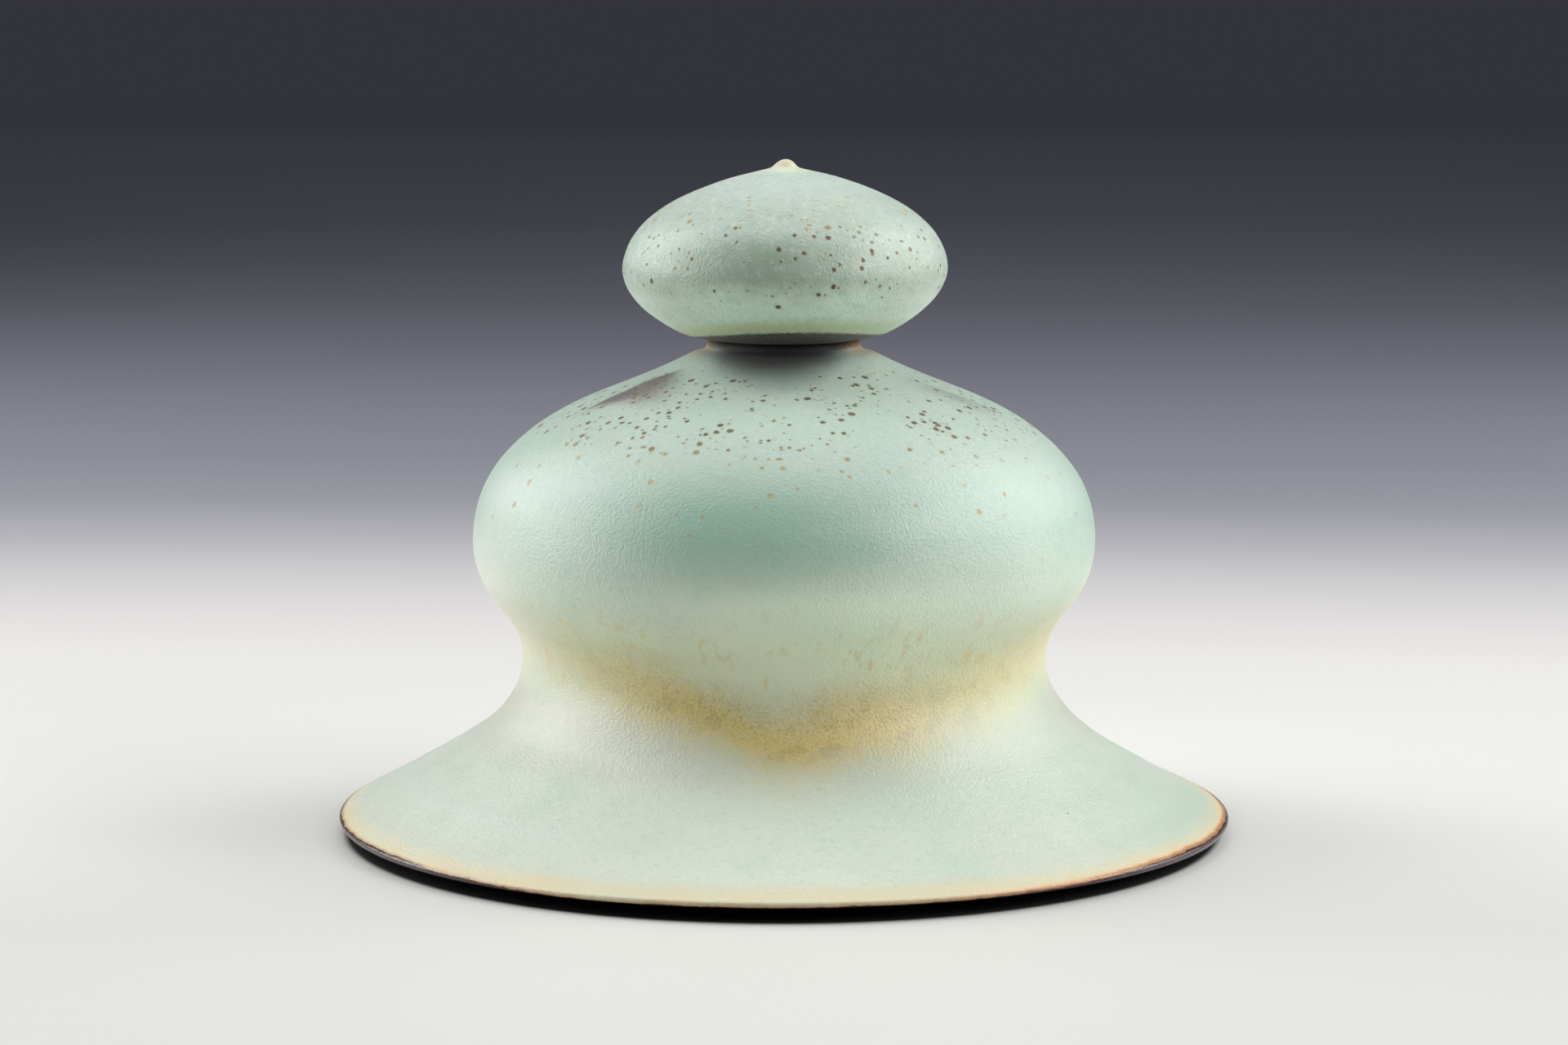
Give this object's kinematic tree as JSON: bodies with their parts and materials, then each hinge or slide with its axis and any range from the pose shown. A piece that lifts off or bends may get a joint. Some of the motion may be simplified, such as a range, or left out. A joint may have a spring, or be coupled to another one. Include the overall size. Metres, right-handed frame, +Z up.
{
  "type": "lidded vessel",
  "caption": "Lidded narrow-necked ceramic vessel: round bulb over a pinched waist and a wide flared foot, closed by a loose flattened-globe stopper.",
  "frame": {"origin": "centre of the foot ring, on the plane that the vessel stands on", "axes": "+Z up along the vessel's turning axis, which the stopper lifts along"},
  "size_m": [0.16, 0.16, 0.12],
  "materials": {
    "satin_mint_glaze": "satin glaze over iron-speckled stoneware",
    "bare_stoneware": "unglazed, toasted by the firing"
  },
  "bodies": {
    "vessel": {"flared_base": "satin_mint_glaze", "foot_ring": "bare_stoneware", "bulb": "satin_mint_glaze"},
    "stopper": {"stopper_cap": "satin_mint_glaze", "stopper_tenon": "bare_stoneware"}
  },
  "joints": [
    {"name": "stopper_lift", "type": "slide", "parent": "vessel", "child": "stopper", "axis": [0, 0, 1], "range_m": [0, 0.045]}
  ]
}
